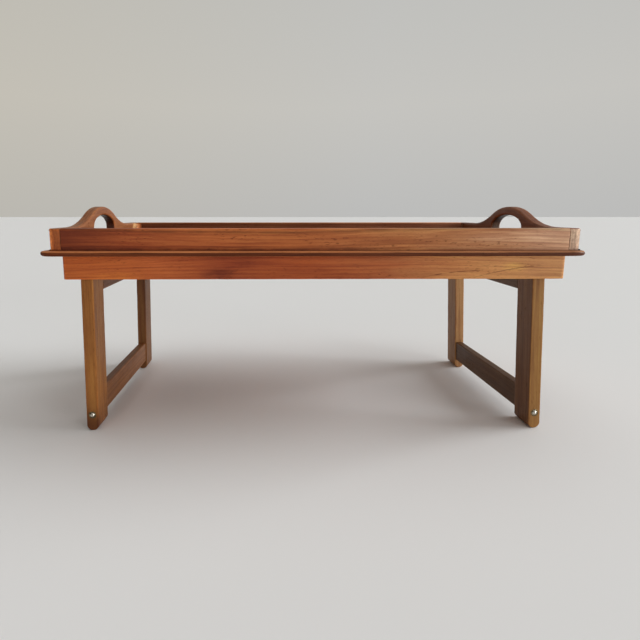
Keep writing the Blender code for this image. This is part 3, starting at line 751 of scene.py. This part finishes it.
# The three aprons away from the user are of their own wood. Each leg's colour factor is its
# wood's tone with painted light and shade: the far left leg is darkened as painted shade under
# the tray, the near right leg darkened for its side in shade, the far right leg lightened as
# painted light.
HIDDEN_APRON_TONES = ((0.38, 0.122, 0.037), (0.31, 0.09, 0.027), (0.24, 0.065, 0.02), (0.15, 0.038, 0.013))
LEG_TONE_LIGHT_AND_SHADE = {"front_left": (1.22, 1.24, 0.97), "back_left": (0.60, 0.60, 0.63),
             "front_right": (0.66, 0.75, 1.07), "back_right": (1.2, 1.55, 2.1)}
# Painted light on the faces of the right legs towards the user
LEG_FRONT_LIGHT = {"front_right": (1.79, 1.96, 1.36), "back_right": (1.45, 1.55, 1.75)}
END_TINTS = {-1: (0.72, 0.83, 0.82), 1: (0.70, 0.76, 0.80)}
# Colour factors of each side's cross rails: their wood's tone, and on the right side painted shade on the
# faces turned away from the light
CROSS_RAIL_TONE_AND_SHADE = {-1: (0.74, 0.72, 0.76), 1: (0.45, 0.54, 0.70)}

# Colour factors along X: where a board's wood changes from end to end, and on the gallery's rails
# and the front apron also painted light, which grows towards the right end
BOARD_ALONG = ((-0.34, (1.1, 1.1, 1.1)), (0.0, (1.0, 1.0, 1.0)), (0.2, (0.83, 0.95, 1.1)),
               (0.34, (0.78, 0.95, 1.1)))
FRONT_RAIL_TONE_AND_LIGHT = ((-0.33, (0.49, 0.30, 0.23)), (-0.23, (0.85, 0.64, 0.57)), (-0.12, (1.25, 1.19, 1.11)),
                    (0.0, (1.14, 1.15, 1.09)), (0.10, (1.34, 1.78, 2.0)), (0.20, (1.35, 2.13, 3.2)),
                    (0.33, (2.0, 4.3, 9.7)))
BACK_RAIL_TONE_AND_LIGHT = ((-0.33, (0.72, 0.80, 0.80)), (0.0, (0.90, 1.12, 1.18)), (0.33, (1.68, 2.36, 3.0)))
FRONT_APRON_TONE_AND_LIGHT = ((-0.32, (1.21, 1.24, 0.94)), (-0.19, (1.28, 1.36, 1.4)), (-0.10, (0.74, 0.57, 0.62)),
                     (0.0, (1.06, 1.0, 0.87)), (0.10, (1.10, 1.33, 1.57)), (0.20, (1.56, 3.0, 4.1)),
                     (0.32, (1.5, 3.1, 4.7)))


def tinted(tones, factor):
    return [[tone * f for tone, f in zip(color, factor)] for color in tones]


def screw_places():
    """The node that each of the eight screws goes into from below the board, and its foot."""
    along = GALLERY_HALF_X - RAIL_SCREW_IN
    across = GALLERY_HALF_Y - RAIL_SCREW_IN
    places = [("gallery_" + name, end * RAIL_SCREW_X, side * across)
              for side, name in ROWS for end in (-1, 1)]
    places += [("end_board_" + name, side * along, row * END_SCREW_Y)
               for side, name in SIDES for row in (-1, 1)]
    return [(node, (MIDDLE_X + x, y, BOARD_LOW.z)) for node, x, y in places]


def screw_bore(position):
    wide = SCREW_HEAD + GAP
    narrow = SCREW_RADIUS + GAP / 2
    profile = [(0, -0.001), (wide + 0.001, -0.001), (wide, 0), (narrow, SCREW_HEAD),
               (narrow, SCREW_LENGTH - 0.003), (0, SCREW_LENGTH + GAP)]
    bm = turned(profile, 32)
    bm.transform(Matrix.Translation(position))
    return bm


def screw_bores(node=None):
    """The bores in a node, or in the board that all of them pass through."""
    return [screw_bore(position) for name, position in screw_places() if node in (None, name)]


def make_board():
    outline = rounded_rectangle(BOARD_LOW.xy, BOARD_HIGH.xy, (BOARD_CORNER,) * 4, 16)
    bm = slab(divided(outline, 0.012, 0.002), "Z", BOARD_LOW.z, BOARD_HIGH.z, BULLNOSE, steps=6)
    # The rim factor darkens the board's edges: their edge grain, and painted shade on the bullnose
    material = wood("board_wood_look", BOARD_TONES, "X", 4.0, pith=(0.02, -0.30), ring=0.0045, rings=0.45,
                    wave=0.008, sweep=0.02, blotches=0.3, flecks=0.4, rim=(0.245, 0.15, 0.10), wear=0.10,
                    along=BOARD_ALONG, roughness=0.50, coat=0.0, specular=0.15)
    piece("tray_board", bm, material, "tray", screw_bores(), rub=0.00025)


def make_gallery():
    for side, name in ROWS:
        node = "gallery_" + name
        low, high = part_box(node)
        outline = rounded_rectangle(low.yz, high.yz, (0, 0, GALLERY_EASE, GALLERY_EASE), 7)
        bm = slab(divided(outline, 0.02, 0.0012), "X", low.x, high.x, SHARP, steps=2)
        cutters = screw_bores(node)
        for end, x in ((-1, low.x), (1, high.x)):
            for height in DOWEL_HEIGHTS:
                cutters.append(bore((x, (low.y + high.y) / 2, height), (-end, 0, 0),
                                    [(DOWEL_RADIUS + GAP / 2, DOWEL_LENGTH - DOWEL_IN_END)]))
        if side < 0:
            # The tone along X is partly painted light, which grows towards the right end, and the dark band
            # along the whole top is painted shade
            look = {
                "along": FRONT_RAIL_TONE_AND_LIGHT, "wear": 0.10,
                "marks": (((0.0, low.y, GALLERY_TOP), (2.0, 0.05, 0.0032), (0.62, 0.66, 0.60), 1.0),),
                "knots": (((0.205, low.y, 0.2508), 0.0016),),
                "fleck_areas": (((-0.121, low.y, 0.2485), (0.022, 0.02, 0.003)),
                                ((0.150, low.y, 0.255), (0.08, 0.02, 0.010))),
            }
        else:
            # The factor for faces towards the user darkens the inner face: painted shade. The tone along X
            # is partly painted light, growing towards the right end.
            look = {"along": BACK_RAIL_TONE_AND_LIGHT, "wear": 0.3, "front": (0.50, 0.53, 0.85),
                    "roughness": 0.62, "coat": 0.0, "specular": 0.08}
        # Painted shade along the bottom of each rail where it sits on the board, full on the left half and
        # fading towards the right end
        shaded = (GALLERY_BOTTOM + 0.0058, GALLERY_BOTTOM + 0.0008)
        material = wood(node + "_look", RAIL_TONES, "X", 1.0 + side, pith=(side * 0.06, 0.16), ring=0.0030,
                        rings=0.42, streaks=0.45, wave=0.009, sweep=0.010, flecks=0.6,
                        bottom_shade=(("Z", *shaded, 0.0, 0.18, 1.0, 0.35),), **look)
        piece(node, bm, material, "tray", cutters, rub=0.00022)


def cove(side, row, face):
    """The wood that rounds an inside corner of the gallery, to be joined to an end board."""
    rail = GALLERY_HALF_Y - GALLERY_STOCK - GAP
    centre = (face - side * COVE_RADIUS, row * (rail - COVE_EDGE - COVE_RADIUS))
    points = [(centre[0] + side * u, centre[1] + row * v) for u, v in arc((0, 0), COVE_RADIUS, 0, 90, 18)]
    points += [(centre[0], row * rail), (face + side * 0.001, row * rail), (face + side * 0.001, centre[1])]
    bm = bmesh.new()
    heights = (GALLERY_BOTTOM + GAP, GALLERY_TOP - 0.0018, GALLERY_TOP - INNER_EASE)
    loft(bm, [[bm.verts.new((x, y, z)) for x, y in points] for z in heights])
    return bm


def end_board_ease(side):
    """Rounding of an end board: the arch and the hole all round, the upright corners outside."""
    def ease(point, step):
        from_end = GALLERY_HALF_Y - abs(point[0])
        if point[1] < GALLERY_BOTTOM + 0.001:
            radius = END_CORNER if from_end < 0.001 else SHARP
            outside = (radius, step * radius)
            inside = (SHARP, step * SHARP)
        elif from_end < TOP_CORNER + 1e-6:
            # the upper corner runs in to where the upright corner and the top's rounding meet
            share = from_end / TOP_CORNER
            radius = END_CORNER + (HANDLE_EASE - END_CORNER) * share
            towards = -math.copysign(END_CORNER - from_end, point[0])
            outside = (radius, Vector((towards, min(0, GALLERY_TOP - HANDLE_EASE - point[1]))))
            radius = SHARP + (INNER_EASE - SHARP) * share
            inside = (radius, step * radius)
        else:
            radius = HANDLE_EASE if from_end > GALLERY_STOCK else INNER_EASE
            outside = (HANDLE_EASE, step * HANDLE_EASE)
            inside = (radius, step * radius)
        return (outside, inside) if side < 0 else (inside, outside)
    return ease


def make_end_boards():
    for side, name in SIDES:
        node = "end_board_" + name
        outer = MIDDLE_X + side * GALLERY_HALF_X
        inner = outer - side * GALLERY_STOCK
        bm = slab(end_board_outline(), "X", min(inner, outer), max(inner, outer), end_board_ease(side),
                  hole=hand_hole_outline(), keep_low=True)
        cutters = screw_bores(node)
        for row in (-1, 1):
            for height in DOWEL_HEIGHTS:
                middle = (inner, row * (GALLERY_HALF_Y - GALLERY_STOCK / 2), height)
                cutters.append(bore(middle, (side, 0, 0), [(DOWEL_RADIUS + GAP / 2, DOWEL_IN_END + GAP)]))
        coves = [cove(side, row, inner) for row in (-1, 1)]
        # The hand hole's walls are darkened: painted shade
        hollow = ((inner, HANDLE_Y, 0.2705), (0.1, HOLE_HALF + 0.02, 0.0235), (0.16, 0.13, 0.12))
        if side < 0:
            # Painted light: the front end, which is end grain, is coloured for the light on it, and two
            # marks are painted light, a patch on the inside face at the far corner and a strip on the
            # rounded outer corner
            corner = (inner + 0.004, 0.152, 0.262)
            edge = (outer, -GALLERY_HALF_Y, 0.260)
            look = {"front": (1.38, 1.02, 0.75),
                    "marks": ((corner, (0.012, 0.016, 0.02), (3.6, 6.4, 9.6), 1.0),
                              (edge, (0.0075, 0.012, 0.05), (4.6, 5.6, 6.0), 1.0))}
        else:
            ring = (inner + 0.0058, -GALLERY_HALF_Y, 0.26)
            # Painted light: the front end, which is end grain, is made pale as if lit by the window at the
            # right. The mark is a dark growth ring.
            look = {"front": (2.8, 5.9, 12.0),
                    "marks": ((ring, (0.0006, 0.02, 0.03), (0.35, 0.3, 0.3), 0.5),)}
        # Painted shade along the bottom, where the end board sits on the tray board
        material = wood(node + "_look", tinted(END_TONES, END_TINTS[side]), "Y", 6.0 + side,
                        pith=(side * 0.75, 0.26), ring=0.0034, rings=0.45, flecks=0.35, hollow=hollow,
                        bottom_shade=(("Z", GALLERY_BOTTOM + 0.003, GALLERY_BOTTOM),), **look)
        piece(node, bm, material, "tray", cutters, rub=0.00025, added=coves)


def make_aprons():
    for side, name in ROWS:
        node = "apron_" + name
        low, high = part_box(node)
        radii = (APRON_CORNER, APRON_CORNER, 0, 0)[::-side]
        outline = divided(rounded_rectangle(low.xy, high.xy, radii, 7), 0.012, 0.0012)
        bm = slab(outline, "Z", low.z, high.z, 0.001, steps=3)
        cutters = []
        for end in (-1, 1):
            strike = PIVOT_X[end] - end * CATCH_DROP[end]
            for x, radius, depth in ((PIVOT_X[end], PIVOT_SHANK, PIVOT_GRIP),
                                     (strike, STRIKE_RADIUS, STRIKE_THICKNESS)):
                cutters.append(bore((x, side * APRON_INNER_Y, PIVOT_Z), (0, side, 0),
                                    [(radius + GAP / 2, depth + GAP)]))
        tones, look = HIDDEN_APRON_TONES, {}
        if side < 0:
            face = low.y
            tones = APRON_TONES
            # The tone along X is partly painted light, which grows towards the right end
            look = {
                "along": FRONT_APRON_TONE_AND_LIGHT,
                "marks": (((-0.120, face, 0.2145), (0.030, 0.03, 0.010), (0.42, 0.30, 0.28), 0.75),
                          ((-0.247, face, 0.2155), (0.045, 0.03, 0.008), (1.30, 1.55, 1.30), 0.8),
                          ((0.255, face, 0.2240), (0.022, 0.03, 0.009), (1.20, 1.45, 1.10), 0.8)),
                "fleck_areas": (((0.214, face, 0.222), (0.045, 0.03, 0.016)),),
                "lines": (((0.139, 0.2100), (0.215, 0.2190), 0.0012, 0.0008),
                          ((0.205, 0.2095), (0.290, 0.2270), 0.0020, 0.0006)),
            }
        material = wood(node + "_look", tones, "X", 9.0 + side, pith=(side * 0.10, 0.13), ring=0.0036,
                        rings=0.40, streaks=0.42, wave=0.007, sweep=0.012, flecks=0.45, **look)
        piece(node, bm, material, "tray", cutters, rub=0.00022)
    for side, name in SIDES:
        node = "apron_" + name
        low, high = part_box(node)
        outline = divided(rounded_rectangle(low.xy, high.xy, (0, 0, 0, 0)), 0.02, 0.0012)
        bm = slab(outline, "Z", low.z, high.z, 0.0006, steps=2)
        material = wood(node + "_look", HIDDEN_APRON_TONES, "Y", 12.0 + side, pith=(side * 0.40, 0.15),
                        ring=0.0038, rings=0.42, wave=0.006, wear=0.25)
        piece(node, bm, material, "tray", rub=0.00015)


def slotted(radius, top, width=0.0010, deep=0.0008):
    """The cutter for a screwdriver slot across a head whose top is at Z = top, facing -Z."""
    return block((-radius * 1.2, -width / 2, top - 0.001), (radius * 1.2, width / 2, top + deep))


def make_board_screws(brass):
    for i, (_, position) in enumerate(screw_places(), 1):
        profile = [(0, GAP), (SCREW_HEAD - 0.0003, GAP), (SCREW_HEAD, GAP + 0.0002),
                   (SCREW_RADIUS, SCREW_HEAD), (SCREW_RADIUS, SCREW_LENGTH - 0.003), (0, SCREW_LENGTH)]
        place = Matrix.Translation(position) @ Matrix.Rotation(0.9 * i, 4, "Z")
        piece(f"board_screw_{i}", turned(profile, 32), brass, "tray",
              [slotted(SCREW_HEAD, GAP)], place)


def make_leg(side, near, place, body, leant, seed):
    inner = near * LEG_INNER_Y
    outer = near * LEG_OUTER_Y
    bm = slab(leg_outline(side), "Y", min(inner, outer), max(inner, outer), LEG_EASE, steps=3)
    cutters = [bore((0, inner, 0), (0, near, 0), [(PIVOT_BORE, LEG_WIDTH + 0.001)]),
               bore((0, outer, -CATCH_DROP[side]), (0, -near, 0),
                    [(FLANGE_RADIUS + GAP / 2, FLANGE_THICKNESS),
                     (BARREL_RADIUS + GAP / 2, BARREL_LENGTH)])]
    half_x = TENON_THICKNESS / 2 + GAP
    half_z = TENON_HEIGHT / 2 + GAP
    low, high = sorted((inner + near * (TENON_LENGTH + GAP), inner - near * 0.001))
    for height in (-UPPER_RAIL_DROP, STRETCHER_HEIGHT[side]):
        cutters.append(block((-half_x, low, height - half_z), (half_x, high, height + half_z)))
    foot = -LEG_LENGTH[side]
    # Painted shade over the last 5 cm to the foot of the front left leg, around the catch and the toe
    bottom_shade = (("Z", foot + 0.050, foot - 0.002),) if place == "front_left" else ()
    material = wood(f"leg_{place}_look", tinted(LEG_TONES, LEG_TONE_LIGHT_AND_SHADE[place]), "Z", seed,
                    (side * 0.03, near * 0.22), 0.0034, 0.45, bottom_shade=bottom_shade, gold=0.35, flecks=0.35,
                    front=LEG_FRONT_LIGHT.get(place), roughness=0.45)
    piece("leg_" + place, bm, material, body, cutters, leant, rub=0.0002)


def make_catch(side, near, place, body, leant, metals):
    """A ball catch in a leg: its barrel with a flange, the ball, and the spring behind it."""
    brass, bright, steel = metals
    face = (0, near * LEG_OUTER_Y, -CATCH_DROP[side])
    seat = leant @ facing((0, near, 0), face)
    bottom = GAP - BARREL_LENGTH
    floor = bottom + 0.0008
    mouth = 0.0035
    wall = BALL_RADIUS + GAP / 2
    profile = [(0, bottom), (BARREL_RADIUS - 0.0003, bottom), (BARREL_RADIUS, bottom + 0.0003),
               (BARREL_RADIUS, GAP - FLANGE_THICKNESS), (FLANGE_RADIUS, GAP - FLANGE_THICKNESS),
               (FLANGE_RADIUS, GAP - 0.0004), (FLANGE_RADIUS - 0.0001, GAP - 0.00015),
               (FLANGE_RADIUS - 0.00035, GAP - 0.00003), (FLANGE_RADIUS - 0.0006, GAP),
               (mouth + 0.0005, GAP), (mouth + 0.0002, GAP - 0.00006), (mouth, GAP - 0.00025),
               (mouth + 0.00005, -0.0005), (wall, -0.0009), (wall, floor), (0, floor)]
    piece("catch_barrel_" + place, turned(profile, 56), brass, body, place=seat)

    profile = [(0, -BALL_RADIUS), *arc((0, 0), BALL_RADIUS, -90, 90, 28)[1:-1], (0, BALL_RADIUS)]
    out = Matrix.Translation((0, 0, BALL_STANDS_OUT - BALL_RADIUS))
    piece("catch_ball_" + place, turned(profile, 56), bright, place + "_ball", place=seat @ out)

    back = floor + GAP
    front = BALL_STANDS_OUT - 2 * BALL_RADIUS - GAP
    spring = piece("catch_spring_" + place, coil(back + SPRING_WIRE, front - SPRING_WIRE), steel,
                   body, place=seat)
    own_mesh(spring)


def make_pivot(side, near, place, brass, steel, turn):
    """The screw that a leg turns on, and the washer between the leg and the apron."""
    head_y = LEG_INNER_Y - GAP
    length = APRON_INNER_Y + PIVOT_GRIP - head_y
    dome = arc((0, 0), 1, -90, 0, 8)
    profile = [(PIVOT_HEAD * u, PIVOT_DOME * (1 + v) - PIVOT_HEAD_HEIGHT) for u, v in dome[1:]]
    profile = [(0, -PIVOT_HEAD_HEIGHT), *profile, (PIVOT_HEAD, -0.0002), (PIVOT_HEAD - 0.0002, 0),
               (PIVOT_SHANK, 0), (PIVOT_SHANK, length - 0.002), (0, length)]
    seat = facing((0, near, 0), (PIVOT_X[side], near * head_y, PIVOT_Z))
    piece("pivot_screw_" + place, turned(profile, 48), steel, "tray",
          [slotted(PIVOT_HEAD, -PIVOT_HEAD_HEIGHT, 0.0012, 0.0011)], seat @ Matrix.Rotation(turn, 4, "Z"))

    thickness = APRON_INNER_Y - LEG_OUTER_Y - 2 * GAP
    soft = 0.0003
    profile = [(WASHER_RADIUS - soft, 0), (WASHER_RADIUS, soft), (WASHER_RADIUS, thickness - soft),
               (WASHER_RADIUS - soft, thickness), (PIVOT_BORE + soft / 2, thickness),
               (PIVOT_BORE, thickness - soft / 2), (PIVOT_BORE, soft / 2), (PIVOT_BORE + soft / 2, 0)]
    seat = facing((0, near, 0), (PIVOT_X[side], near * (LEG_OUTER_Y + GAP), PIVOT_Z))
    piece("pivot_washer_" + place, turned(profile, 48), brass, "tray", place=seat)


def make_strike_cup(side, near, place, brass):
    """The dished brass disc in the apron where a leg's ball lands when it is folded."""
    top = STRIKE_THICKNESS
    profile = [(0, 0), (STRIKE_RADIUS, 0), (STRIKE_RADIUS, top - 0.0003),
               (STRIKE_RADIUS - 0.0001, top - 0.0001), (STRIKE_RADIUS - 0.0003, top), (0.0033, top)]
    for k in range(6):
        out = 1 - k / 6
        profile.append((0.0029 * out, top - STRIKE_DISH * (1 - out ** 2) - 0.0001 * out))
    profile.append((0, top - STRIKE_DISH))
    strike_x = PIVOT_X[side] - side * CATCH_DROP[side]
    seat = facing((0, -near, 0), (strike_x, near * (APRON_INNER_Y + top), PIVOT_Z))
    piece("strike_cup_" + place, turned(profile, 48), brass, "tray", place=seat)


def make_cross_rails(side, name, body, leant):
    half_y = LEG_INNER_Y - GAP
    reach = LEG_INNER_Y + TENON_LENGTH
    tones = tinted(LEG_TONES, CROSS_RAIL_TONE_AND_SHADE[side])
    for label, (thick, high), height in (("upper_rail_", UPPER_RAIL, -UPPER_RAIL_DROP),
                                         ("stretcher_", STRETCHER, STRETCHER_HEIGHT[side])):
        outline = rounded_rectangle((-thick / 2, height - high / 2), (thick / 2, height + high / 2),
                                    (0.002,) * 4, 5)
        bm = slab(divided(outline, 0.01, 0.001), "Y", -half_y, half_y, 0.00005, steps=1, support=0.0004)
        tenon = block((-TENON_THICKNESS / 2, -reach, height - TENON_HEIGHT / 2),
                      (TENON_THICKNESS / 2, reach, height + TENON_HEIGHT / 2))
        material = wood(f"{label}{name}_look", tones, "Y", 30.0 + side + height * 40,
                        pith=(side * 0.25, 0.05), ring=0.0036, rings=0.45, gold=0.2,
                        roughness=0.45)
        piece(label + name, bm, material, body, place=leant, rub=0.00015, added=[tenon])


def make_leg_frame(side, name, metals):
    brass, _, steel = metals
    body = name + "_leg_frame"
    leant = Matrix.Translation((PIVOT_X[side], 0, PIVOT_Z)) @ Matrix.Rotation(-side * SPLAY[side], 4, "Y")
    for near, near_name in ROWS:
        place = f"{near_name}_{name}"
        seed = 20.0 + 3 * side + near
        make_leg(side, near, place, body, leant, seed)
        make_catch(side, near, place, body, leant, metals)
        make_pivot(side, near, place, brass, steel, 0.7 * seed)
        make_strike_cup(side, near, place, brass)
    make_cross_rails(side, name, body, leant)


def dress_dowels(nodes):
    """Dowels keep their CAD shape."""
    dowel = wood("dowel_wood_look", DOWEL_TONES, "X", 40.0, pith=(0.02, 0.02), ring=0.0009, rings=0.3,
                 blotches=0.1, flecks=0.1, wear=0.0, roughness=0.6, coat=0.0)
    for name, node in nodes.items():
        if name.startswith("dowel_"):
            node.data.materials.clear()
            node.data.materials.append(dowel)


# Studio: camera, floor and light

def make_camera():
    """At the user's side, a little left of the middle and 5 cm above the board."""
    data = bpy.data.cameras.new("camera")
    data.sensor_width = 36
    data.lens = 27.0
    data.shift_x = 0.0705
    data.shift_y = -0.0456
    data.clip_start = 0.01
    camera = bpy.data.objects.new("camera", data)
    camera.location = (-0.0565, -0.7680, 0.2927)
    camera.rotation_euler = (math.pi / 2 - 0.162, 0, -0.013)
    bpy.context.scene.collection.objects.link(camera)
    bpy.context.scene.camera = camera


def make_floor():
    n = Nodes("floor")
    n.shade({"Base Color": (0.78, 0.77, 0.76, 1), "Roughness": 0.9})
    bm = bmesh.new()
    bmesh.ops.create_grid(bm, x_segments=1, y_segments=1, size=30)
    floor = as_object("floor", bm)
    floor.location.z = -0.0002
    floor.data.materials.append(n.material)


def sun_light(name, source, spread, color, strength):
    """Even light from a direction, with soft shadows. spread is its width in degrees."""
    data = bpy.data.lights.new(name, "SUN")
    data.angle = math.radians(spread)
    data.color = color
    data.energy = strength
    light = bpy.data.objects.new(name, data)
    light.matrix_world = facing(source, (0, 0, 1))
    bpy.context.scene.collection.objects.link(light)


def make_light():
    """A pale room, bright near the horizon, with a window at the right and light from above."""
    world = bpy.data.worlds.new("studio")
    world.use_nodes = True
    n = Nodes(tree=world.node_tree)
    direction = n.split(n.add("ShaderNodeTexCoord").outputs["Generated"])
    dome = n.ramp(direction[2], ((0.0, (0.56, 0.56, 0.55)), (0.20, (0.62, 0.61, 0.58)),
                                 (0.42, (0.58, 0.58, 0.56)), (0.62, (0.16, 0.16, 0.16))))
    from_left = n.math("MULTIPLY_ADD", direction[0], 0.5, 0.5)
    sides = n.ramp(from_left, ((0.05, (0.10, 0.09, 0.08)), (0.20, (0.98, 0.94, 0.86)), (0.6, 1.0)))
    background = n.tree.nodes["Background"]
    n.put(background.inputs["Color"], n.mix(1.0, dome, sides, "MULTIPLY"))
    background.inputs["Strength"].default_value = 0.9
    bpy.context.scene.world = world

    sun_light("sky", (0.15, 0.0, 1.0), 80, (1.0, 0.98, 0.95), 1.0)
    sun_light("window", (1.0, 0.12, 0.42), 35, (0.92, 0.97, 1.0), 2.3)
    sun_light("front", (0.72, -0.69, 0.02), 24, (0.95, 0.97, 1.0), 1.6)


def main():
    make_camera()
    brass = metal("catch_brass", (0.25, 0.19, 0.10), (0.07, 0.055, 0.03), 0.34, 2.0, 0.8)
    bright = metal("catch_bright", (0.62, 0.58, 0.50), (0.34, 0.30, 0.24), 0.16, 5.0, 0.4)
    steel = metal("screw_steel", (0.48, 0.46, 0.43), (0.20, 0.17, 0.14), 0.34, 8.0, 0.6)
    make_board()
    make_gallery()
    make_end_boards()
    make_aprons()
    make_board_screws(brass)
    for side, name in SIDES:
        make_leg_frame(side, name, (brass, bright, steel))
    dress_dowels(frame["nodes"])
    make_floor()
    make_light()
    bpy.context.scene.view_settings.view_transform = "Standard"


main()
